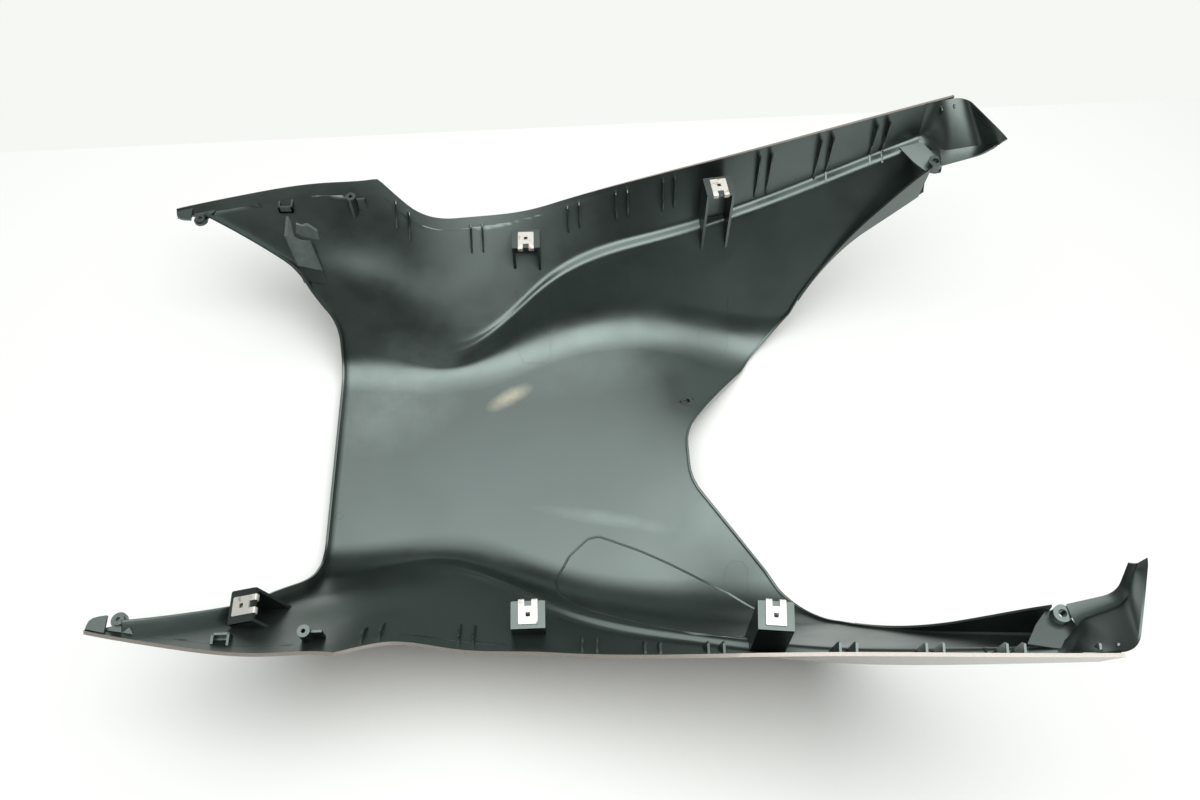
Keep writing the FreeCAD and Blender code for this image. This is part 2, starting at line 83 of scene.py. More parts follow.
def laid(points):
    """Drawing millimetres to metres on the table: a turn about Y, then a move."""
    return (np.asarray(points) @ TURN.T + SHIFT) * MM


print("tipped by", round(math.degrees(lean), 2), "degrees")

# %% [markdown]
# ## Camera
# The camera's place was found from the photograph: the part is mirror-symmetric, so lines across it
# meet in one vanishing point, and the upright edges of its towers meet in another.

# %% Camera at the photograph's angle
EYE = (327.8, -421.0, 786.3)
RIGHT, ABOVE = np.array([0.9983, -0.041, 0.0]), np.array([0.035, 0.8544, 0.5183])
FOCAL_PIXELS, IMAGE_WIDTH, SENSOR = 1050.0, 1200.0, 36.0


def unit(vectors):
    """Vectors of length one in the same directions."""
    return vectors / np.linalg.norm(vectors, axis=-1, keepdims=True)


lens = bpy.data.cameras.new("photo_lens")
lens.sensor_width = SENSOR
lens.lens = FOCAL_PIXELS / IMAGE_WIDTH * SENSOR
lens.clip_end = 50.0
camera = bpy.data.objects.new("photo_camera", lens)
bpy.context.scene.collection.objects.link(camera)
side = unit(RIGHT)
top = unit(ABOVE - side * np.dot(side, ABOVE))
pose = np.eye(4)
pose[:3, :3] = TURN @ np.column_stack([side, top, np.cross(side, top)])
pose[:3, 3] = laid(EYE)
camera.matrix_world = pose.T.tolist()
bpy.context.scene.camera = camera
bpy.context.scene.view_settings.view_transform = "Standard"
print("lens", round(lens.lens, 2), "mm at", np.round(laid(EYE), 3))

# %% [markdown]
# ## Small tools
# A grid of points becomes a mesh when its neighbours are joined by quads.  Most pieces here are such
# grids: a surface of two parameters, or a profile carried along a path.

# %% Grids, sweeps and meshes
def quads(rows, cols, wrap_rows=False, wrap_cols=False):
    """Quads between neighbouring points of a rows by cols grid, numbered row by row."""
    r = np.arange(rows if wrap_rows else rows - 1)[:, None]
    c = np.arange(cols if wrap_cols else cols - 1)[None, :]
    r1, c1 = (r + 1) % rows, (c + 1) % cols
    corners = np.stack(np.broadcast_arrays(r * cols + c, r1 * cols + c, r1 * cols + c1, r * cols + c1), -1)
    return corners.reshape(-1, 4)


def merge(shapes):
    """Several (points, faces) shapes as one, with the face numbers moved on."""
    points, faces, start = [], [], 0
    for shape_points, shape_faces in shapes:
        flat = np.asarray(shape_points, float).reshape(-1, 3)
        points.append(flat)
        faces += [np.asarray(part) + start for part in shape_faces]
        start += len(flat)
    return np.vstack(points), faces


def carry(path, side, up, profile):
    """A closed profile of (side, up) offsets carried along a path, with flat caps at both ends."""
    profile = np.asarray(profile, float)
    if profile.ndim == 2:
        profile = np.broadcast_to(profile, (len(path), *profile.shape))
    points = (np.asarray(path)[:, None, :] + profile[..., :1] * np.asarray(side)[:, None, :]
              + profile[..., 1:] * np.asarray(up)[:, None, :])
    rows, cols = points.shape[:2]
    ring = np.arange(cols)
    return points, [quads(rows, cols, wrap_cols=True), ring[None, :], (rows - 1) * cols + ring[None, ::-1]]


def thick(grid, depth):
    """A closed plate from a grid of points: the grid, its copy at a depth along the normals, and edges."""
    normal = unit(np.cross(np.gradient(grid, axis=0), np.gradient(grid, axis=1)))
    rows, cols = grid.shape[:2]
    number = np.arange(rows * cols).reshape(rows, cols)
    ring = np.concatenate([number[0, :-1], number[:-1, -1], number[-1, :0:-1], number[:0:-1, 0]])
    after, other = np.roll(ring, -1), rows * cols
    faces = [quads(rows, cols)[:, ::-1], quads(rows, cols) + other,
             np.stack([ring, ring + other, after + other, after], -1)]
    if depth < 0:
        faces = [part[:, ::-1] for part in faces]
    return np.stack([grid, grid + depth * normal]), faces


def mirrored(shape):
    """The same shape on the near side: y is flipped, and so is the order of each face's corners."""
    points, faces = shape
    return np.asarray(points) * np.array([1, -1, 1]), [np.asarray(part)[:, ::-1] for part in faces]


SHARP = math.radians(38)  # folds sharper than this keep a hard edge
BOX_LOW, BOX_HIGH = (np.array(corner) for corner in cad_box)


def piece(name, shape, materials, face_material=None):
    """A mesh object from one (points, faces) shape in drawing millimetres, which rides on the part."""
    points, faces = shape
    mesh = bpy.data.meshes.new(name)
    placed = np.clip(laid(points.reshape(-1, 3)), BOX_LOW, BOX_HIGH)
    mesh.from_pydata(placed.tolist(), [], [f for part in faces for f in part.tolist()])
    for material in materials:
        mesh.materials.append(material)
    if face_material is not None:
        mesh.polygons.foreach_set("material_index", np.asarray(face_material, np.int32))
    mesh.polygons.foreach_set("use_smooth", np.ones(len(mesh.polygons), bool))
    mesh.set_sharp_from_angle(angle=SHARP)
    mesh.validate()
    obj = bpy.data.objects.new(name, mesh)
    bpy.context.scene.collection.objects.link(obj)
    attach(obj, "root")
    print(name, len(mesh.vertices), "points", len(mesh.polygons), "faces")
    return obj


# %% [markdown]
# ## Materials
# The moulding is black polypropylene.  Out of the mould it is satin, and years under a scooter leave
# it hazed with dust and fine scratches.  The outside is painted, and the paint shows as a pale line
# along the rim.  The nuts are zinc-plated spring steel with a little rust.

# %% Colours and nodes
def tint(hex_code):
    """An sRGB hex colour as linear red, green, blue and alpha."""
    channels = np.array([int(hex_code[i:i + 2], 16) for i in (1, 3, 5)]) / 255
    linear = np.where(channels <= 0.04045, channels / 12.92, ((channels + 0.055) / 1.055) ** 2.4)
    return (*linear.tolist(), 1.0)


def new_material(name):
    """A node material with its tree and its main shader."""
    print("material", name)
    material = bpy.data.materials.new(name)
    material.use_nodes = True
    tree = material.node_tree
    return material, tree, tree.nodes["Principled BSDF"]


def node(tree, kind, inputs=None, **settings):
    """Adds a node: settings are its properties, inputs its socket values or links."""
    made = tree.nodes.new(kind)
    for key, value in settings.items():
        setattr(made, key, value)
    for key, value in (inputs or {}).items():
        if isinstance(value, bpy.types.NodeSocket):
            tree.links.new(value, made.inputs[key])
        else:
            made.inputs[key].default_value = value
    return made


PER_METRE = 1000.0  # a pattern of period p mm has a texture scale of PER_METRE / p

# %% Black moulded polypropylene
plastic, tree, shader = new_material("black_polypropylene")
where = node(tree, "ShaderNodeTexCoord").outputs["Object"]
HAZE_MM, GRIT_MM = 60.0, 1.2
haze = node(tree, "ShaderNodeTexNoise", {"Vector": where, "Scale": PER_METRE / HAZE_MM, "Detail": 6.0,
                                         "Roughness": 0.6})
haze_ramp = node(tree, "ShaderNodeMapRange", {"Value": haze.outputs["Fac"], "From Min": 0.35,
                                              "From Max": 0.7})
black = node(tree, "ShaderNodeMix", {"Factor": haze_ramp.outputs["Result"], "A": tint("#0b0e0d"),
                                     "B": tint("#161b19")}, data_type="RGBA")
sheen_range = node(tree, "ShaderNodeMapRange", {"Value": haze.outputs["Fac"], "From Min": 0.3,
                                                "From Max": 0.75, "To Min": 0.30, "To Max": 0.46})
grit = node(tree, "ShaderNodeTexNoise", {"Vector": where, "Scale": PER_METRE / GRIT_MM, "Detail": 2.0})
bump = node(tree, "ShaderNodeBump", {"Height": grit.outputs["Fac"], "Strength": 0.06, "Distance": 0.0003})
# rubbed places and patches of painted sheen in the drawing: middle, length, width, turn in plan, colour and
# strength
MARKS = {
    "beige_scuff": ((268, 61, 0), 58, 22, 31, "#b3a68c", 0.75),
    "pale_streak": ((348, -58, 0), 160, 18, -11, "#8f9b96", 0.25),
    "dull_rub": ((385, 136, 2), 34, 18, -35, "#2c3432", 0.8),
    "dull_rub_below": ((407, 126, -7), 30, 16, -35, "#2c3432", 0.7),
    # painted sheen: the floor is made paler where it mirrors the lamps, towards the tail and along the far
    # crease
    "painted_sheen_tail": ((165, 62, 0), 170, 130, 25, "#9aa5a1", 0.22),
    "painted_sheen_far_side": ((330, 95, 0), 260, 90, 8, "#8a9692", 0.16),
}
MARK_NOISE_MM = 26.0
mark_noise = node(tree, "ShaderNodeTexNoise", {"Vector": where, "Scale": PER_METRE / MARK_NOISE_MM, "Detail": 7.0,
                                          "Roughness": 0.65})
colour = black
# each mark is a soft blot broken up by noise; it lays the real rubs and scuffs and the painted sheen alike
for middle, length, width, turn, shade, strength in MARKS.values():
    spot = node(tree, "ShaderNodeMapping", {
        "Vector": where, "Location": laid(middle), "Rotation": (0, 0, math.radians(turn)),
        "Scale": (length / 2 * MM, width / 2 * MM, width * MM)}, vector_type="TEXTURE")
    ball = node(tree, "ShaderNodeTexGradient", {"Vector": spot.outputs["Vector"]}, gradient_type="SPHERICAL")
    wear_and_sheen = node(tree, "ShaderNodeMath", {0: ball.outputs["Fac"], 1: mark_noise.outputs["Fac"]},
                operation="MULTIPLY")
    mask = node(tree, "ShaderNodeMapRange", {"Value": wear_and_sheen.outputs[0], "From Min": 0.08, "From Max": 0.45,
                                             "To Max": strength})
    colour = node(tree, "ShaderNodeMix", {"Factor": mask.outputs["Result"], "A": colour.outputs["Result"],
                                          "B": tint(shade)}, data_type="RGBA")
tree.links.new(colour.outputs["Result"], shader.inputs["Base Color"])
tree.links.new(sheen_range.outputs["Result"], shader.inputs["Roughness"])
tree.links.new(bump.outputs["Normal"], shader.inputs["Normal"])
shader.inputs["IOR"].default_value = 1.75
shader.inputs["Specular IOR Level"].default_value = 1.0
shader.inputs["Specular Tint"].default_value = tint("#e6faf4")

# %% [markdown]
# ## Torn plastic
# One tower is broken.  Where its wall was bent and torn off, polypropylene turns dull and pale, so it
# has a grey of its own with streaks a few millimetres wide, and none of the moulding's gloss.

# %% Torn plastic
torn_plastic, tree, shader = new_material("torn_polypropylene")
where = node(tree, "ShaderNodeTexCoord").outputs["Object"]
TORN_MM = 6.0
streaks = node(tree, "ShaderNodeTexNoise", {"Vector": where, "Scale": PER_METRE / TORN_MM, "Detail": 5.0})
whitened = node(tree, "ShaderNodeMix", {"Factor": streaks.outputs["Fac"], "A": tint("#424a48"),
                                        "B": tint("#5f6865")}, data_type="RGBA")
tree.links.new(whitened.outputs["Result"], shader.inputs["Base Color"])
shader.inputs["Roughness"].default_value = 0.55

# %% [markdown]
# ## Paint
# The outside is sprayed, with fine metal flake under a clear coat.  Flake is much too fine to show, so
# it is drawn at just under a millimetre, as a slight unevenness of the colour.

# %% Paint on the outside
paint, tree, shader = new_material("painted_outside")
where = node(tree, "ShaderNodeTexCoord").outputs["Object"]
FLAKE_MM = 0.8
flake = node(tree, "ShaderNodeTexNoise", {"Vector": where, "Scale": PER_METRE / FLAKE_MM, "Detail": 1.0})
silver = node(tree, "ShaderNodeMix", {"Factor": flake.outputs["Fac"], "A": tint("#8d867d"),
                                      "B": tint("#b3aca3")}, data_type="RGBA")
tree.links.new(silver.outputs["Result"], shader.inputs["Base Color"])
shader.inputs["Metallic"].default_value = 0.35
shader.inputs["Roughness"].default_value = 0.35
shader.inputs["Coat Weight"].default_value = 0.6

# %% [markdown]
# ## Zinc
# The nuts are spring steel with a thin dull coat of zinc, more white than bright.  Rust comes through
# in spots of a few millimetres, so a noise of that size is cut off at a level that leaves most bare.

# %% Zinc-plated clip nuts
zinc, tree, shader = new_material("zinc_plated_spring_steel")
where = node(tree, "ShaderNodeTexCoord").outputs["Object"]
RUST_MM = 7.0
rust = node(tree, "ShaderNodeTexNoise", {"Vector": where, "Scale": PER_METRE / RUST_MM, "Detail": 5.0})
rust_mask = node(tree, "ShaderNodeMapRange", {"Value": rust.outputs["Fac"], "From Min": 0.58,
                                              "From Max": 0.72})
plate_colour = node(tree, "ShaderNodeMix", {"Factor": rust_mask.outputs["Result"], "A": tint("#d9d8d0"),
                                            "B": tint("#9a6b3c")}, data_type="RGBA")
tree.links.new(plate_colour.outputs["Result"], shader.inputs["Base Color"])
shader.inputs["Metallic"].default_value = 0.55
shader.inputs["Roughness"].default_value = 0.5

# %% [markdown]
# ## The skin of the trough
# Boat builders draw a hull as a table of offsets: at each station along X the half section runs from
# the keel to the crease, up the bilge to a ledge, over the ledge and up to the rim.  A smooth curve
# through the stations gives every section between them, so the whole inside is one function of two
# parameters: x, and s, which runs from 0 at the keel to 1 at the far rim and to -1 at the near rim.

# %% Smooth curves through stations
def smooth(knots, values, x):
    """Cubic spline: a curve through all knots with even curvature; end slopes from a parabola."""
    h = np.diff(knots)
    slope = np.diff(values) / h
    first = slope[0] - h[0] * (slope[1] - slope[0]) / (h[0] + h[1])
    last = slope[-1] + h[-1] * (slope[-1] - slope[-2]) / (h[-1] + h[-2])
    count = len(knots)
    system = np.eye(count)
    i = np.arange(1, count - 1)
    system[i, i - 1], system[i, i], system[i, i + 1] = h[1:], 2 * (h[:-1] + h[1:]), h[:-1]
    middle = 3 * (h[1:] * slope[:-1] + h[:-1] * slope[1:])
    tangent = np.linalg.solve(system, np.concatenate([[first], middle, [last]]))
    k = np.clip(np.searchsorted(knots, x) - 1, 0, count - 2)
    t = (x - knots[k]) / h[k]
    return ((1 + 2 * t) * (1 - t) ** 2 * values[k] + t * (1 - t) ** 2 * h[k] * tangent[k]
            + t ** 2 * (3 - 2 * t) * values[k + 1] + t ** 2 * (t - 1) * h[k] * tangent[k + 1])


def rounded_path(corners, samples=14):
    """An open path through (u, v, radius) corners, each corner a parabola tangent to both sides."""
    corners = np.asarray(corners, float)
    points, radii = corners[:, :2], corners[1:-1, 2]
    back, ahead = unit(points[:-2] - points[1:-1]), unit(points[2:] - points[1:-1])
    half = np.arccos(np.clip(np.sum(back * ahead, axis=1), -1, 1)) / 2
    reach = (radii / np.tan(half))[:, None]
    start, stop = points[1:-1] + back * reach, points[1:-1] + ahead * reach
    t = np.linspace(0, 1, samples)[None, :, None]
    bends = (1 - t) ** 2 * start[:, None] + 2 * t * (1 - t) * points[1:-1, None] + t ** 2 * stop[:, None]
    return np.vstack([points[:1], bends.reshape(-1, 2), points[-1:]])


# %% The table of offsets
# x, crease y and z, ledge y and z, ledge width, rim y and z
STATIONS = np.array([
    (-20, 88, 0, 118, 40, 1, 175, 121),
    (50, 90, 0, 120, 37, 1, 192.5, 124.5),
    (120, 92, 0, 122, 33, 1, 202, 126),
    (166, 90, 0, 112, 24, 1, 202.5, 125.5),
    (215, 86, 0, 98, 13, 2, 191, 94.5),
    (300, 119, 0, 144, 46, 8, 197, 91),
    (400, 138, -11, 178.5, 64.5, 9, 209, 111),
    (500, 132, -47, 200, 83, 9, 220, 136),
    (600, 138, -30, 216, 120, 9, 232, 159.5),
    (700, 150, 7, 229, 157, 8, 243, 182),
], float)
WALL, CREASE_ROUND, LEDGE_RISE, LEDGE_ROUND = 2.5, 45.0, 0.15, 3.0
RIM_PATH = rounded_path([(0, 122.5, 0), (166, 127, 6), (205, 92, 75), (270, 85, 235), (659, 170, 0)])
# share of s at which the section's stretches end: keel, floor, crease, bilge, ledge, wall
BREAKS = np.array([0, 0.16, 0.32, 0.47, 0.63, 0.66, 0.69, 0.72, 1.0])
PLAIN_BREAKS = np.array([0, 0.16, 0.32, 0.47, 0.58, 0.76, 1.0])
FOLD_ROUND, LEDGE_FADE = 30.0, (205.0, 285.0)  # bend without a ledge; where along x the ledge begins
# the arm's wall is a little flatter in one place: where it is in x and s, and how far it swells
SWELL_X, SWELL_LONG, SWELL_S, SWELL_SHARE, SWELL_DEEP = 148.0, 42.0, 0.83, 0.055, 2.4


def rim_height(x):
    """Height of the rim along the part, seen from the side."""
    return np.interp(x, RIM_PATH[:, 0], RIM_PATH[:, 1])


def corner_ends(before, corner, after, reach):
    """The two points at which a rounded corner leaves its sides, kept short of the sides' middles."""
    ends = []
    for other in (before, after):
        length = np.linalg.norm(other - corner, axis=-1, keepdims=True)
        ends.append(corner + (other - corner) / length * np.minimum(reach, 0.45 * length))
    return ends


def arc(start, corner, stop, t):
    """A bend from start to stop with its sides' corner: a circle where both sides are as long."""
    wide = np.sum(unit(start - corner) * unit(stop - corner), axis=-1, keepdims=True)
    weight = 2 * t * (1 - t) * np.sqrt(np.clip((1 - wide) / 2, 0, 1))
    return ((1 - t) ** 2 * start + weight * corner + t ** 2 * stop) / ((1 - t) ** 2 + weight + t ** 2)


def along(stretches, breaks, s):
    """The point at share s of a chain of (start, corner, stop) stretches; no corner means a straight one."""
    section = np.zeros((*s.shape, 2))
    for (start, corner, stop), low, high in zip(stretches, breaks, breaks[1:]):
        t = np.clip((np.abs(s) - low) / (high - low), 0, 1)[..., None]
        curve = start + (stop - start) * t if corner is None else arc(start, corner, stop, t)
        section = np.where((np.abs(s) >= low)[..., None], curve, section)
    return section


def skin(x, s):
    """The inside of the trough at x and s: straight stretches joined by arcs.

    Towards the tail the ledge fades: there the section is blended into one without a ledge.
    """
    x, s = np.broadcast_arrays(np.asarray(x, float), np.asarray(s, float))
    crease_y, crease_z, ledge_y, ledge_z, ledge_w, rim_y, rim_z = [
        smooth(STATIONS[:, 0], column, x) for column in STATIONS.T[1:]]
    keel = np.zeros((*x.shape, 2))
    crease, ledge = np.stack([crease_y, crease_z], -1), np.stack([ledge_y, ledge_z], -1)
    shelf = ledge + ledge_w[..., None] * np.array([1, LEDGE_RISE])
    top = np.stack([rim_y, rim_z], -1)
    rim = shelf + (top - shelf) * ((rim_height(x) - shelf[..., 1]) / (rim_z - shelf[..., 1]))[..., None]
    turn = np.sum(unit(keel - crease) * unit(ledge - crease), axis=-1)
    reach = CREASE_ROUND / np.tan(np.arccos(np.clip(turn, -1, 1)) / 2)
    crease_in, crease_out = corner_ends(keel, crease, ledge, reach[..., None])
    ledge_in, ledge_out = corner_ends(crease_out, ledge, shelf, LEDGE_ROUND)
    shelf_in, shelf_out = corner_ends(ledge, shelf, rim, LEDGE_ROUND)
    fold = (ledge + shelf) / 2
    fold_in, fold_out = corner_ends(crease_out, fold, rim, FOLD_ROUND)
    floor = crease_in / 2
    keel_up = floor * [0, 0.5]
    lead = [(keel_up, floor * [0.5, 0.5], floor), (floor, None, crease_in), (crease_in, crease, crease_out)]
    stepped = lead + [(crease_out, None, ledge_in), (ledge_in, ledge, ledge_out), (ledge_out, None, shelf_in),
                      (shelf_in, shelf, shelf_out), (shelf_out, None, rim)]
    plain = lead + [(crease_out, None, fold_in), (fold_in, fold, fold_out), (fold_out, None, rim)]
    fade = np.clip((x - LEDGE_FADE[0]) / (LEDGE_FADE[1] - LEDGE_FADE[0]), 0, 1)[..., None]
    fade = fade ** 2 * (3 - 2 * fade)
    section = fade * along(stepped, BREAKS, s) + (1 - fade) * along(plain, PLAIN_BREAKS, s)
    rise = (np.abs(s) - SWELL_S) / SWELL_SHARE
    swell = SWELL_DEEP * -rise * np.exp((1 - rise ** 2) / 2 - ((x - SWELL_X) / SWELL_LONG) ** 2)
    rise_y, rise_z = rim[..., 0] - shelf[..., 0], rim[..., 1] - shelf[..., 1]
    section = section + swell[..., None] * unit(np.stack([-rise_z, rise_y], -1))
    return np.stack([x, np.sign(s) * section[..., 0], section[..., 1]], -1)


def inward(x, s):
    """Unit normal of the skin, into the trough: the cross product of its two slopes."""
    step_x, step_s = 0.5, 0.002
    along = skin(x + step_x, s) - skin(x - step_x, s)
    across = skin(x, np.clip(s + step_s, -1, 1)) - skin(x, np.clip(s - step_s, -1, 1))
    return unit(np.cross(along, across))


def find_s(x, wanted, axis):
    """The s on the far side at which the skin's y (axis 1) or z (axis 2) has the wanted value."""
    low = np.full(np.shape(x), 0.0 if axis == 1 else BREAKS[2])
    high = np.ones(np.shape(x))
    for _ in range(30):
        middle = (low + high) / 2
        under = skin(x, middle)[..., axis] < wanted
        low, high = np.where(under, middle, low), np.where(under, high, middle)
    return (low + high) / 2


# %% [markdown]
# ## Where the skin ends
# The two ends of the trough are cut out.  In side view the tail edge rises from the belly to the
# tips of the arms; in plan the nose edge is a wide U.  Each edge is turned into x as a function of s,
# so that the skin's grid can run exactly from one edge to the other.

# %% The tail edge and the nose edge
TAIL_X, TIP_X, HEEL_X, END_X = 122.0, 0.0, 637.0, 651.0
WEB_X, WEB_Z, FOOT_X, FOOT_Z = 641.0, 127.5, 646.0, 132.0  # foot of the nose end
ARM_ROOT = (22.0, 116.0)
tail_side = rounded_path([(TAIL_X, 10, 0), (TAIL_X, 33, 35), (90, 74, 60), (*ARM_ROOT, 0)])
tail_s = find_s(tail_side[:, 0], tail_side[:, 1], 2)
arm_s = float(tail_s[-1])
TAIL_TABLE = (np.concatenate([[0], tail_s, [arm_s + 1e-4, 1]]),
              np.concatenate([[TAIL_X], tail_side[:, 0], [TIP_X, TIP_X]]))
nose_plan = rounded_path([(421, 0, 0), (421, 24, 45), (500, 129, 160), (560, 177, 160),
                          (HEEL_X, 200.4, 0)])
nose_s = find_s(nose_plan[:, 0], nose_plan[:, 1], 1)
foot_x, foot_z = np.array([HEEL_X, WEB_X, FOOT_X]), np.array([WEB_Z, WEB_Z, FOOT_Z])
foot_s = find_s(foot_x, foot_z, 2)
heel_s = float(nose_s[-1])
NOSE_TABLE = (np.concatenate([nose_s, foot_s, [1]]), np.concatenate([nose_plan[:, 0], foot_x, [END_X]]))


def tail_x(s):
    """Where the tail edge cuts the line of one s."""
    return np.interp(np.abs(s), *TAIL_TABLE)


def nose_x(s):
    """Where the nose edge cuts the line of one s."""
    return np.interp(np.abs(s), *NOSE_TABLE)


print("arm root at s", round(arm_s, 3), "nose heel at s", round(heel_s, 3))

# %% [markdown]
# ## The shell
# One grid is the inside, a second one lies a wall's thickness behind it, and strips close the edges
# between them.  The outside and the edges carry the paint.

# %% Shell grid
COUNTS = (7, 8, 34, 20, 6, 4, 6, 22)
half_rows = np.concatenate([np.linspace(a, b, n, endpoint=False)
                            for a, b, n in zip(BREAKS, BREAKS[1:], COUNTS)])
heel_rows = np.linspace(BREAKS[3], heel_s, 14)
half_rows = np.unique(np.concatenate([half_rows, heel_rows, foot_s, [arm_s, arm_s + 1e-4, 1.0]]))
row_s = np.concatenate([-half_rows[:0:-1], half_rows])
COLUMNS = 170
u = np.linspace(0, 1, COLUMNS)
grid_s = np.repeat(row_s[:, None], COLUMNS, axis=1)
grid_x = tail_x(grid_s) * (1 - u) + nose_x(grid_s) * u
inside = skin(grid_x, grid_s)
outside = inside - WALL * inward(grid_x, grid_s)
rows = len(row_s)
DRAIN, DRAIN_DIA, DRAIN_EYE = (424.0, 56.0), 6.0, 11.0
cells = quads(rows, COLUMNS)
middles = inside.reshape(-1, 3)[cells].mean(axis=1)
cells = cells[np.hypot(middles[:, 0] - DRAIN[0], middles[:, 1] - DRAIN[1]) > 0.8 * DRAIN_DIA]
number = np.arange(rows * COLUMNS).reshape(rows, COLUMNS)
back = rows * COLUMNS


def edge_strip(line):
    """Quads between a line of the inside grid and the same line of the outside grid."""
    return np.stack([line[:-1], line[1:], line[1:] + back, line[:-1] + back], -1)


strips = [edge_strip(number[0][::-1]), edge_strip(number[-1]), edge_strip(number[:, 0]),
          edge_strip(number[::-1, -1])]
shell_faces = [cells[:, ::-1], cells + back] + strips
face_material = np.concatenate([np.zeros(len(cells)), np.ones(len(cells) + sum(map(len, strips)))])
shell = piece("fairing_shell", (np.stack([inside, outside]), shell_faces), [plastic, paint],
              face_material)
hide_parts("fairing_shell")

# %% [markdown]
# ## Lips
# An upturned lip stiffens the tail edge and runs out along the arms as a narrow flange; the nose edge
# has only a bead that grows towards the nose ends.  Both are profiles carried along the edge.

# %% Lips along both edges
LIP, BEAD, BEAD_THICK = 8.5, 2.0, 1.8


def edge_lip(s, x, into, height, thick):
    """A rounded strip that stands on the skin along an edge, as high as height says at each point."""
    path, up = skin(x, s), inward(x, s)
    along = unit(np.gradient(path, axis=0))
    side = unit(np.cross(along, up))
    side *= np.sign(np.sum(side * into, axis=-1, keepdims=True))
    profile = np.array([(0, -0.15), (0, 0.9), (0.15, 0.98), (0.5, 1), (0.85, 0.98), (1, 0.9), (1, -0.15)])
    profile = profile[None] * np.stack([np.full(len(s), thick), height], -1)[:, None, :]
    return carry(path, side, up, profile)


lip_s = row_s[np.abs(row_s) <= arm_s]
tail_lip = edge_lip(lip_s, tail_x(lip_s), (1, 0, 0), np.full(len(lip_s), LIP), WALL)
bead_s = row_s[np.abs(row_s) <= heel_s]
bead_x = nose_x(bead_s)
nose_lip = edge_lip(bead_s, bead_x, (-1, 0, 0), np.full(len(bead_s), BEAD), BEAD_THICK)
FACET_X, FACET_STOP, FACET_TOP, FACET_IN, FACET_BEND = 535.0, 632.0, 129.0, 5.0, 2.4


def nose_facet():
    """Near the nose end the lip grows into a facet that rises from the edge to the lug."""
    x = np.linspace(FACET_X, FACET_STOP, 30)
    edge = skin(x, np.interp(x, nose_plan[:, 0], nose_s))
    grown = ((x - FACET_X) / (FACET_STOP - FACET_X)) ** FACET_BEND
    rise = np.column_stack([np.zeros(30), -FACET_IN * grown, (FACET_TOP - edge[:, 2]) * grown + BEAD])
    return thick(edge + rise * np.linspace(0, 1, 8)[:, None, None], -BEAD_THICK)


facets = [nose_facet(), mirrored(nose_facet())]
piece("edge_lips", merge([tail_lip, nose_lip] + facets), [plastic])

# %% [markdown]
# ## Ribs
# Each rib is a thin fin on the wall, nothing at its foot and deepest under the rim.  It is a profile
# carried along the skin itself, so that it stands on the wall wherever that bends.

# %% Rib pairs under the rim
RIB_THICK, RIB_SPACE, RIB_BELOW_RIM, RIB_DEPTH = 1.6, 10.0, 4.0, 8.0
RIB_DROPS = {184: 22, 245: 20, 330: 22, 372: 26, 413: 32, 495: 48, 546.5: 46, 593: 40, 645: 20}


def rib(x, drop, sign):
    """A fin on the wall at one x: its depth grows from nothing at its foot to full under the rim."""
    z = rim_height(x) - np.linspace(drop, RIB_BELOW_RIM, 12)
    s = sign * find_s(np.full(12, x), z, 2)
    path, up = skin(x, s), inward(np.full(12, x), s)
    depth = RIB_DEPTH * np.linspace(0.02, 1, 12) ** 0.6
    depth[-1] *= 0.8
    profile = np.array([(-0.5, -0.2), (-0.5, 0.92), (-0.25, 1), (0.25, 1), (0.5, 0.92), (0.5, -0.2)])
    profile = profile[None] * np.stack([np.full(12, RIB_THICK), depth], -1)[:, None, :]
    return carry(path, np.tile([1.0, 0, 0], (12, 1)), up, profile)


ribs = [rib(x + step * RIB_SPACE / 2, drop, sign)
        for x, drop in RIB_DROPS.items() for step in (-1, 1) for sign in (-1, 1)]
piece("rim_ribs", merge(ribs), [plastic])

# %% [markdown]
# ## Lines left by the mould
# A closed double ridge marks a piece that can be cut out of the belly, and finer lines show where
# parts of the mould met.  They are less than a millimetre high, but real shapes that catch the light.

# %% Moulded lines in the belly
KNOCK_OUT = [(305, -112), (317, -90), (332, -76), (341, -74), (374, -87), (405, -101), (445, -119),
             (466, -133), (470, -150), (462, -176), (434, -184), (404, -180), (374, -169), (330, -149),
             (309, -128), (305, -112)]
WITNESS = [[(277, 145), (277, 104), (281, 96), (301, 96), (305, 104), (307, 145)],
           [(443, 155), (443, 122), (448, 115), (464, 117), (470, 125), (470, 157)],
           [(441, -118), (443, -99), (450, -91), (459, -91), (463, -97), (461, -116)]]
PINS, PIN_ROUND = [(128, 47), (129, -47), (116, -121)], 3.0
DOUBLE_RIDGE = np.array([(-1.1, -0.4), (-0.95, 0.1), (-0.6, 0.32), (-0.25, 0.1), (0, 0.0), (0.25, 0.1),
                         (0.6, 0.32), (0.95, 0.1), (1.1, -0.4)])
FINE_RIDGE = np.array([(-0.45, -0.3), (-0.25, 0.14), (0.25, 0.14), (0.45, -0.3)])


def moulded_line(plan, ridge, steps=90):
    """A ridge that follows a line given in plan, laid on the skin."""
    plan = np.asarray(plan, float)
    run = np.concatenate([[0], np.cumsum(np.linalg.norm(np.diff(plan, axis=0), axis=1))])
    at = np.linspace(0, run[-1], steps)
    x, y = np.interp(at, run, plan[:, 0]), np.interp(at, run, plan[:, 1])
    s = np.sign(y) * find_s(x, np.abs(y), 1)
    path, up = skin(x, s), inward(x, s)
    return carry(path, unit(np.cross(np.gradient(path, axis=0), up)), up, ridge)


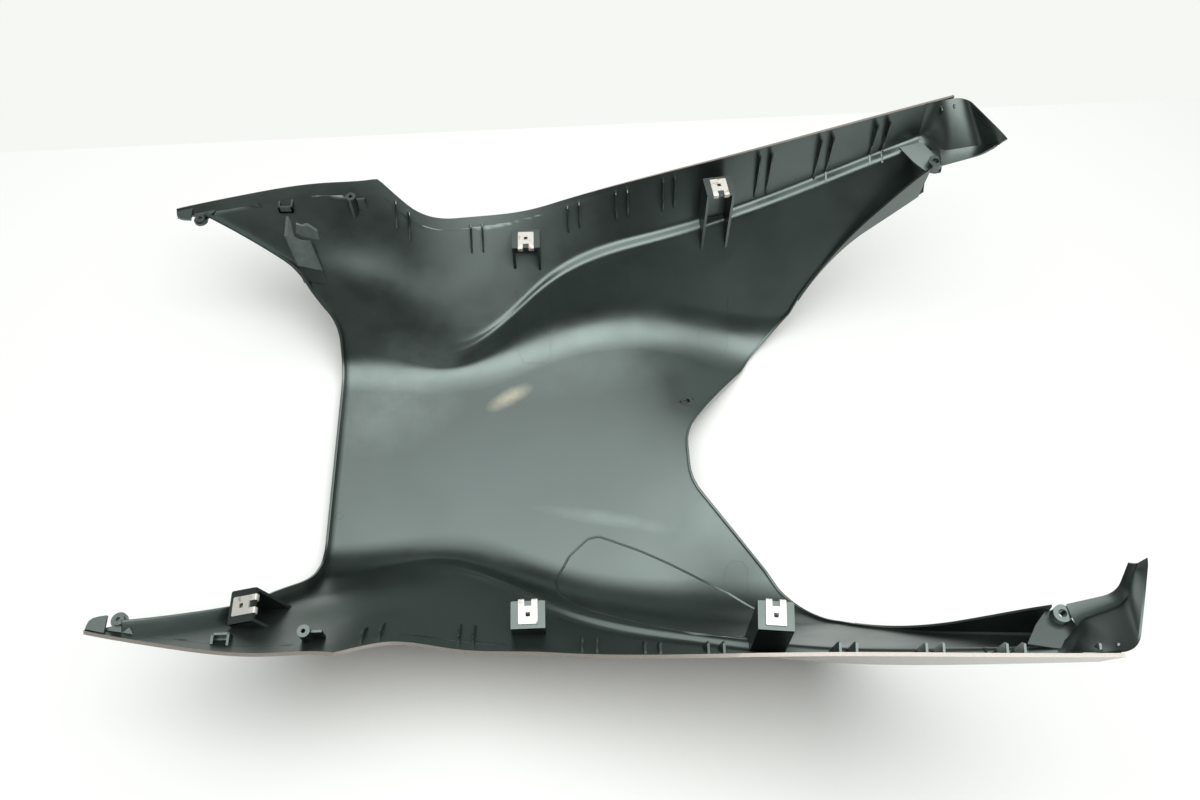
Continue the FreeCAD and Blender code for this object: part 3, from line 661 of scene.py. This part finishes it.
turns = np.linspace(0, 2 * np.pi, 25)
pin_rings = [np.array(pin) + PIN_ROUND * np.column_stack([np.cos(turns), np.sin(turns)]) for pin in PINS]
moulded = [moulded_line(KNOCK_OUT, DOUBLE_RIDGE, 160)] + [moulded_line(line, FINE_RIDGE) for line in WITNESS]
piece("moulded_lines", merge(moulded + [moulded_line(ring, FINE_RIDGE, 40) for ring in pin_rings]), [plastic])

# %% [markdown]
# ## Box towers
# A tower is a top plate on three walls, open on the side from which its nut is pushed on.  Its walls
# go straight down until they meet the skin, so each point of their outline is dropped onto it.

# %% Dropping points onto the skin
def skin_height(x, y):
    """Height of the skin over a point of the plan."""
    s = find_s(x, np.abs(y), 1)
    return skin(x, s)[..., 2]


def drop(points, direction, reach=110.0):
    """Where points moved along a direction meet the skin, found by halving the distance."""
    low, high = np.zeros(len(points)), np.full(len(points), reach)
    for _ in range(24):
        middle = (low + high) / 2
        here = points + middle[:, None] * direction
        above = here[:, 2] > skin_height(here[:, 0], here[:, 1])
        low, high = np.where(above, middle, low), np.where(above, high, middle)
    return points + high[:, None] * direction


def spin(axis, degrees):
    """Rotation matrix about X, Y or Z."""
    c, s = math.cos(math.radians(degrees)), math.sin(math.radians(degrees))
    i, j = {"x": (1, 2), "y": (2, 0), "z": (0, 1)}[axis]
    matrix = np.eye(3)
    matrix[i, i] = matrix[j, j] = c
    matrix[i, j], matrix[j, i] = -s, s
    return matrix


TOWER_W, TOWER_D, TOWER_WALL, TOWER_TOP, TOWER_ROUND, SCREW_HOLE = 24.0, 20.0, 2.2, 2.5, 1.5, 7.0
WALL_TOP = -0.5  # the walls stop just under the top face of the plate
AFT_TILT, FORE_TURN = 20.0, 6.0
TOWERS = {}
for side_name, sign, half_turn in (("far", 1, 0), ("near", -1, 180)):
    TOWERS[f"mid_{side_name}"] = (np.array([288, sign * 168.5, 85]), spin("z", half_turn))
    TOWERS[f"fore_{side_name}"] = (np.array([453.5, sign * 189, 121.5]),
                                   spin("z", half_turn + sign * FORE_TURN))
    TOWERS[f"aft_{side_name}"] = (np.array([94, sign * 160, 101]), spin("y", -AFT_TILT) @ spin("z", 90))


def ring_plate(outline, hole, low, high):
    """A flat plate between an outline and a round hole: at each angle a closed loop of four points."""
    outline = np.asarray(outline, float)
    inner = unit(outline) * hole
    loops = [np.column_stack([edge, np.full(len(edge), z)])
             for edge, z in ((inner, low), (inner, high), (outline, high), (outline, low))]
    return np.stack(loops, 1), [quads(len(outline), 4, True, True)[:, ::-1]]


def rounded_box(x0, x1, y0, y1, radius, steps=5):
    """Outline of a rectangle with rounded corners, anticlockwise."""
    angle = np.linspace(0, np.pi / 2, steps)
    corners = [(x1, y1, 0), (x0, y1, 1), (x0, y0, 2), (x1, y0, 3)]
    parts = []
    for x, y, quarter in corners:
        turn = angle + quarter * np.pi / 2
        centre = np.array([x - math.copysign(radius, x), y - math.copysign(radius, y)])
        parts.append(centre + radius * np.column_stack([np.cos(turn), np.sin(turn)]))
    return np.vstack(parts)


def tower_walls(place, turn, tops):
    """The three walls as one channel section, from their top heights down to the skin."""
    w, d, t = TOWER_W / 2, TOWER_D / 2, TOWER_WALL
    loop = np.array([(-w, -d), (-w, 0), (-w, d), (0, d), (w, d), (w, 0), (w, -d), (w - t, -d), (w - t, 0),
                     (w - t, d - t), (0, d - t), (t - w, d - t), (t - w, 0), (t - w, -d)])
    top = np.column_stack([loop, np.broadcast_to(tops, len(loop))]) @ turn.T + place
    down = -turn[:, 2]
    foot = drop(top, down) + down * 1.0
    points = np.stack([top, top * 0.5 + foot * 0.5, foot])
    cols = len(loop)
    outer = np.arange(cols // 2 - 1)
    lid = np.stack([outer, outer + 1, cols - 2 - outer, cols - 1 - outer], -1)
    return points, [quads(3, cols, wrap_cols=True), lid[:, ::-1]]


def plate(outline, step):
    """A flat plate: an outline of points in space and the same outline moved by a step."""
    outline = np.asarray(outline, float)
    count = len(outline)
    ring = np.arange(count)
    points = np.stack([outline, outline + np.asarray(step, float)])
    return points, [quads(2, count, wrap_cols=True), ring[None, ::-1], ring[None, :] + count]


def moved(shape, place, turn):
    """A shape turned by a matrix and then moved to its place."""
    points, faces = shape
    return np.asarray(points) @ turn.T + place, faces


tower_shapes = []
for name, (place, turn) in TOWERS.items():
    if name == "aft_far":
        continue
    tower_shapes.append(tower_walls(place, turn, WALL_TOP))
    outline = rounded_box(-TOWER_W / 2, TOWER_W / 2, -TOWER_D / 2, TOWER_D / 2, TOWER_ROUND)
    tower_shapes.append(moved(ring_plate(outline, SCREW_HOLE / 2, -TOWER_TOP, 0.0), place, turn))


def broken_tower():
    """What is left of one tower: its inner wall bent back, and low ragged stumps of the other two."""
    share = np.linspace(0, 1, 7)[:, None, None]
    across = np.linspace(0, 1, 9)[None, :, None]
    foot = (1 - across) * FLAP_FOOT[0] + across * FLAP_FOOT[1]
    top = (1 - across) * FLAP_TOP[0] + across * FLAP_TOP[1] + np.sin(across * 7.0) * FLAP_RAGGED
    bent = foot + (top - foot) * share
    # the upper rows are torn pale plastic; the rows at the foot stay black as painted shade
    torn = thick(bent[FLAP_SHADE_ROW:], -TOWER_WALL)
    root = thick(bent[:FLAP_SHADE_ROW + 1], -TOWER_WALL)
    stump = plate(STUMP_BACK, (-TOWER_WALL, 0, 0))
    shard = plate(STUMP_RIM, (0, TOWER_WALL, 0.6))
    return [root], [torn, stump, shard]


# drawing points of the pieces that are left, as the break shows them
FLAP_FOOT = np.array([(96.5, 146.5, 66.0), (116.0, 146.5, 60.0)])
FLAP_TOP = np.array([(86.0, 170.0, 98.0), (105.5, 166.0, 94.0)])
FLAP_RAGGED = np.array([0.4, 0.0, 1.2])
FLAP_SHADE_ROW = 2  # row of the plate below which it is black plastic: painted shade where the foot of the bent wall lies in shade
STUMP_BACK = [(97, 146.5, 62), (86.5, 169.5, 98), (89, 182.5, 107.5), (90.5, 179.5, 100), (98, 158, 74)]
STUMP_RIM = [(93, 172.5, 92), (94, 178.5, 101.5), (99, 178, 99.5), (104, 177.5, 100.5), (111, 175, 95),
             (112, 171, 88)]
flap_shaded_foot, torn_shapes = broken_tower()
piece("box_towers", merge(tower_shapes + flap_shaded_foot), [plastic])
piece("broken_tower", merge(torn_shapes), [torn_plastic])

# %% [markdown]
# ## Clip nuts
# Each nut is a strip of spring steel folded over the tower's open edge: an upper plate with a hole,
# two tongues round the edge, and a lower plate with a threaded collar.

# %% Five clip nuts
NUT_THICK, NUT_W, NUT_BACK, NUT_PLAY, NUT_BORE = 0.8, 13.5, 7.0, 0.1, 4.2
COLLAR, COLLAR_LEN, SLOT_W, SLOT_L = 8.0, 4.0, 5.0, 4.0
NUT_ROUND, NUT_SQUEEZE = 0.8, 0.45  # corner rounding; how flat the bend round the plate's edge is
ROUND_STEPS = 28


def tongue(x0, x1):
    """A strip bent round the plate's edge: a flattened half circle between two short straight runs."""
    front = -TOWER_D / 2 - NUT_PLAY
    radius = TOWER_TOP / 2 + NUT_PLAY + NUT_THICK / 2
    angle = np.linspace(np.pi / 2, 3 * np.pi / 2, 12)
    bend = np.column_stack([front - NUT_THICK / 2 + radius * NUT_SQUEEZE * np.cos(angle),
                            -TOWER_TOP / 2 + radius * np.sin(angle)])
    run = front + SLOT_L
    line = np.vstack([[run, bend[0, 1]], bend, [run, bend[-1, 1]]])
    path = np.column_stack([np.zeros(len(line)), line])
    along = unit(np.gradient(path, axis=0))
    up = np.cross(np.array([1.0, 0, 0]), along)
    half = NUT_THICK / 2
    profile = [(x0, -half), (x1, -half), (x1, half), (x0, half)]
    return carry(path, np.tile([1.0, 0, 0], (len(path), 1)), up, profile)


def circle():
    """Points round a circle of radius one in plan."""
    angle = np.linspace(0, 2 * np.pi, ROUND_STEPS, endpoint=False)
    return np.column_stack([np.cos(angle), np.sin(angle)])


def tube(radius, bore, low, high):
    """A round collar: a closed loop of four points carried round an axis."""
    return ring_plate(circle() * radius, bore, low, high)


def clip_nut():
    """Two flat plates, a collar under the lower one and two tongues round the tower's edge."""
    front = -TOWER_D / 2 - NUT_PLAY + SLOT_L
    outline = rounded_box(-NUT_W / 2, NUT_W / 2, front, NUT_BACK, NUT_ROUND)
    under = -TOWER_TOP - NUT_PLAY
    upper = ring_plate(outline, NUT_BORE / 2, NUT_PLAY, NUT_PLAY + NUT_THICK)
    lower = ring_plate(outline, NUT_BORE / 2, under - NUT_THICK, under)
    collar = tube(COLLAR / 2, NUT_BORE / 2, under - NUT_THICK - COLLAR_LEN, under - NUT_THICK)
    return merge([upper, lower, collar, tongue(-NUT_W / 2, -SLOT_W / 2), tongue(SLOT_W / 2, NUT_W / 2)])


nuts = [moved(clip_nut(), *TOWERS[name]) for name in TOWERS if name != "aft_far"]
clips = piece("clip_nuts", merge(nuts), [zinc])
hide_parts("clip_nuts")

# %% [markdown]
# ## Posts, bosses and trays
# Turned shapes are a profile carried round an axis.  Flat plates are an outline with two faces.

# %% Screw posts with fins, tip bosses and trays
POST_DIA, POST_BORE, POST_X, POST_Y, POST_Z = 8.5, 3.0, 144.0, 187.5, 124.0
FIN_L, FIN_THICK, FIN_BELOW = 11.0, 1.6, 4.0
BOSS_DIA, BOSS_X, BOSS_Y, BOSS_Z, BOSS_LOW = 8.0, 20.0, 173.0, 119.5, 115.5
TAB_ROUND, TAB_Z, TAB_THICK = 5.6, 119.0, 2.0
TAB_WALL = [(31, 183), (8, 178.5)]  # where the boss's plate meets the wall
TAB_END = [(13, 170.5), (8, 171), (4, 172), (1.6, 174), (0.6, 177), (0.3, 179.5), (13, 182.5)]
TRAY_X, TRAY_Y, TRAY_Z, TRAY_L, TRAY_H, TRAY_WALL = 88.0, 184.0, 117.0, 12.0, 7.0, 1.6


def post(sign):
    """A hollow post with a fin beside it, both down to the skin: each point of its rings is dropped."""
    y, down = sign * POST_Y, np.array([0, 0, -1.0])
    ring = np.column_stack([circle(), np.zeros(ROUND_STEPS)])
    bore, rim = (np.array([POST_X, y, POST_Z]) + ring * dia / 2 for dia in (POST_BORE, POST_DIA))
    loops = np.stack([drop(bore, down) + down, bore, rim, drop(rim, down) + down], 1)
    barrel = loops, [quads(ROUND_STEPS, 4, True, True)[:, ::-1]]
    ends = np.array([POST_X, POST_X + FIN_L])
    feet = skin_height(ends, np.full(2, POST_Y)) - 1
    fin = plate([(ends[0], y, feet[0]), (ends[1], y, feet[1]), (ends[1], y, POST_Z - FIN_BELOW),
                 (ends[0], y, POST_Z - FIN_BELOW)], (0, FIN_THICK, 0))
    return [barrel, fin]


def tip_boss(sign):
    """A low boss on a round tab at the arm's tip."""
    place = (BOSS_X, sign * BOSS_Y, BOSS_Z)
    boss = moved(tube(BOSS_DIA / 2, POST_BORE / 2, BOSS_LOW - BOSS_Z, 0.0), place, np.eye(3))
    angle = np.linspace(-0.25 * np.pi, 1.1 * np.pi, 16)
    rounding = np.array([BOSS_X, BOSS_Y]) - TAB_ROUND * np.column_stack([np.cos(angle), np.sin(angle)])
    outline = [(x, sign * y, BOSS_LOW) for x, y in rounding.tolist() + TAB_WALL]
    end = [(x, sign * y, TAB_Z) for x, y in TAB_END]
    return [boss, plate(outline, (0, 0, TAB_THICK)), plate(end, (0, 0, TAB_THICK))]


def tray(sign):
    """A shallow open box on the wall: a floor, a front and two ends."""
    x0, x1 = TRAY_X - TRAY_L / 2, TRAY_X + TRAY_L / 2
    y0, low = sign * TRAY_Y, TRAY_Z - TRAY_H
    y1, y2 = (sign * (skin(TRAY_X, find_s(np.array([TRAY_X]), z, 2))[0, 1] + 1) for z in (low, TRAY_Z))
    base = plate([(x0, y0, low), (x1, y0, low), (x1, y1, low), (x0, y1, low)], (0, 0, TRAY_WALL))
    front = plate([(x0, y0, low), (x1, y0, low), (x1, y0, TRAY_Z), (x0, y0, TRAY_Z)],
                  (0, sign * TRAY_WALL, 0))
    ends = [plate([(x, y0, low), (x, y1, low), (x, y2, TRAY_Z), (x, y0, TRAY_Z)], (step, 0, 0))
            for x, step in ((x0, TRAY_WALL), (x1, -TRAY_WALL))]
    return [base, front] + ends


EYE_PROUD = 0.3


def drain_eye():
    """A flat ring round the drain hole on both faces of the skin, with the hole's wall between them."""
    x, y = np.array([DRAIN[0]]), np.array([DRAIN[1]])
    s = find_s(x, y, 1)
    up = inward(x, s)[0]
    side = unit(np.cross((0, 1.0, 0), up))
    turn = np.column_stack([side, np.cross(up, side), up])
    rings = [(DRAIN_EYE / 2, 0.0, EYE_PROUD), (DRAIN_EYE / 2, -WALL - EYE_PROUD, -WALL),
             (DRAIN_DIA / 2 + 2 * EYE_PROUD, -WALL, EYE_PROUD / 3)]
    return [moved(tube(radius, DRAIN_DIA / 2, low, high), skin(x, s)[0], turn) for radius, low, high in rings]


small = [shape for make in (post, tip_boss, tray) for sign in (1, -1) for shape in make(sign)]
piece("posts_and_trays", merge(small + drain_eye()), [plastic])

# %% [markdown]
# ## Nose ends
# At each nose the wall leans in, turns a rounded corner and ends in a flange.  Its lower edge folds
# over into a narrow strip, and a sloping web carries the lug.  Three lines round the corner give the
# wall and the strip as ruled grids; the wall starts flush with the skin and swings free of it.

# %% Nose ends: flange, web and lug
LUG_X, LUG_Y, LUG_Z, LUG_DIA, LUG_BORE = 637.0, 199.0, 133.0, 12.0, 5.6
# three lines round the corner of the nose end, each by its start, corner and stop: top, foot and lip
CUP_TOP = np.array([(628.0, 234.6, 163.5), (658.3, 235.6, 169.4), (679.0, 180.0, 175.8)])
CUP_FOOT = np.array([(628.0, 209.0, 129.0), (672.0, 199.0, 149.0), (674.0, 181.5, 169.0)])
CUP_LIP = np.array([(628.0, 194.0, 128.0), (668.5, 191.5, 146.5), (670.5, 180.0, 167.0)])
CUP_ROUND, CUP_WALL, CUP_ROWS = 9.0, 1.5, 16
CUP_SWING, CUP_PROUD, STRIP_CURL = 20.0, 0.4, 1.5  # how soon the wall swings free, stands proud, curls
# plan of the sloping web that carries the lug, from the wall's ledge to the edge, anticlockwise
WEB_PLAN = [(642.5, 193.8), (646.0, 206.0), (645.0, 222.5), (628.0, 221.5), (610.0, 217.5), (620.0, 204.0),
            (629.0, 195.0), (637.0, 193.0)]
WEB_TOP, WEB_SLOPE = 126.5, 0.24


def round_corner(line, reach, counts=(14, 9, 12)):
    """Points along start, corner and stop, with the corner rounded by a parabola."""
    start, corner, stop = line
    a, b = corner + unit(start - corner) * reach, corner + unit(stop - corner) * reach
    first, turn, last = (np.linspace(0, 1, n)[:, None] for n in counts)
    bend = (1 - turn) ** 2 * a + 2 * turn * (1 - turn) * corner + turn ** 2 * b
    return np.vstack([start + (a - start) * first[:-1], bend, b + (stop - b) * last[1:]])


def nose_cup():
    """The nose end: the wall leans in and turns round the corner; at its start it lies on the skin."""
    share = np.linspace(0, 1, CUP_ROWS)[:, None]
    top, foot, lip = (round_corner(line, CUP_ROUND) for line in (CUP_TOP, CUP_FOOT, CUP_LIP))
    leaning = foot + (top - foot) * share[..., None]
    x = np.clip(leaning[..., 0], None, END_X)
    s = BREAKS[4] + (1 - BREAKS[4]) * np.broadcast_to(share, x.shape)
    lying = skin(x, s) + CUP_PROUD * inward(x, s)
    free = np.clip((leaning[..., 0] - CUP_TOP[0, 0]) / CUP_SWING, 0, 1)[..., None]
    free = free ** 2 * (3 - 2 * free)
    wall = lying + (leaning - lying) * free
    cup = thick(wall, CUP_WALL)
    across = np.linspace(0, 1, 6)[:, None, None]
    strip = wall[0] + (lip - wall[0]) * across + np.array([0, 0, STRIP_CURL]) * (1 - across) ** 3
    strip = thick(strip[:, lip[:, 0] > LUG_X + LUG_BORE / 2], -CUP_WALL)
    eye = moved(tube(LUG_DIA / 2, LUG_BORE / 2, WEB_TOP - LUG_Z - 1, 0.0), (LUG_X, LUG_Y, LUG_Z), np.eye(3))
    corners = np.array(WEB_PLAN + WEB_PLAN[:1]) - (LUG_X, LUG_Y)
    run = np.linspace(0, len(WEB_PLAN), 6 * len(WEB_PLAN), endpoint=False)
    outline = np.column_stack([np.interp(run, np.arange(len(corners)), line) for line in corners.T])
    slope = np.array([(1, 0, 0), (0, 1, 0), (0, WEB_SLOPE, 1)])
    web = moved(ring_plate(outline, LUG_BORE / 2, -CUP_WALL, 0.0), (LUG_X, LUG_Y, WEB_TOP), slope)
    return [cup, strip, eye, web]


ends = nose_cup()
piece("nose_ends", merge(ends + [mirrored(shape) for shape in ends]), [plastic])

# %% [markdown]
# ## Table
# The part lies on a white table, and past the table's edge the floor is pale too.  It lies flat, so
# that it hides nothing when the part is seen from behind.

# %% Stage
white, tree, shader = new_material("white_table")
shader.inputs["Base Color"].default_value = tint("#eaece9")
shader.inputs["Roughness"].default_value = 0.6

pale, tree, shader = new_material("pale_floor_beyond")
shader.inputs["Base Color"].default_value = tint("#f4f6f3")
rays = node(tree, "ShaderNodeLightPath")
seen = node(tree, "ShaderNodeMath", {0: rays.outputs["Is Camera Ray"], 1: rays.outputs["Is Glossy Ray"]},
            operation="MAXIMUM")
seen = node(tree, "ShaderNodeMath", {0: seen.outputs[0], 1: rays.outputs["Is Transmission Ray"]},
            operation="MAXIMUM")
glow = node(tree, "ShaderNodeEmission", {"Color": tint("#f5f8f3"), "Strength": 1.0})
mixed = node(tree, "ShaderNodeMixShader", {0: seen.outputs[0], 1: shader.outputs[0], 2: glow.outputs[0]})
tree.links.new(mixed.outputs[0], tree.nodes["Material Output"].inputs["Surface"])


def stage_plane(name, corners, material):
    """One flat face that is no part of the object."""
    mesh = bpy.data.meshes.new(name)
    mesh.from_pydata(corners, [], [(0, 1, 2, 3)])
    mesh.materials.append(material)
    obj = bpy.data.objects.new(name, mesh)
    bpy.context.scene.collection.objects.link(obj)


BACK_LEFT, BACK_RIGHT, SPREAD, BEYOND = (-0.556, 0.345), (0.702, 0.494), 3.0, 4.0
back_line = np.array(BACK_RIGHT) - np.array(BACK_LEFT)
far_left, far_right = np.array(BACK_LEFT) - SPREAD * back_line, np.array(BACK_RIGHT) + SPREAD * back_line
stage_plane("table", [(-4, -4, 0), (4, -4, 0), (*far_right, 0), (*far_left, 0)], white)
past = np.array([0, BEYOND])
stage_plane("floor_beyond", [(*corner, 0) for corner in (far_left, far_right, far_right + past,
                                                         far_left + past)], pale)

# %% [markdown]
# ## Light
# Black plastic shows little but what it mirrors.  A wide soft lamp hangs overhead, towards the viewer,
# and a weaker one beyond the part: the belly shows them as a grey sheen, with a brighter band along the
# far crease, while the far walls, which face the dim room, stay nearly black.

# %% Lamps
LAMP_HEIGHT = 2.0
LAMPS = {"ceiling_over": (0.1, -0.3, 3.0, 1.6, 57.0), "ceiling_beyond": (0.1, 1.05, 3.0, 1.1, 19.0)}
for name, (x, y, long, wide, watts) in LAMPS.items():
    light = bpy.data.lights.new(name, "AREA")
    light.shape, light.size, light.size_y, light.energy = "RECTANGLE", long, wide, watts
    lamp = bpy.data.objects.new(name, light)
    lamp.location = (x, y, LAMP_HEIGHT)
    bpy.context.scene.collection.objects.link(lamp)
    print(name, watts, "watts")
world = bpy.data.worlds.new("room")
bpy.context.scene.world = world
world.use_nodes = True
world.node_tree.nodes["Background"].inputs["Color"].default_value = tint("#e9efec")
world.node_tree.nodes["Background"].inputs["Strength"].default_value = 0.12
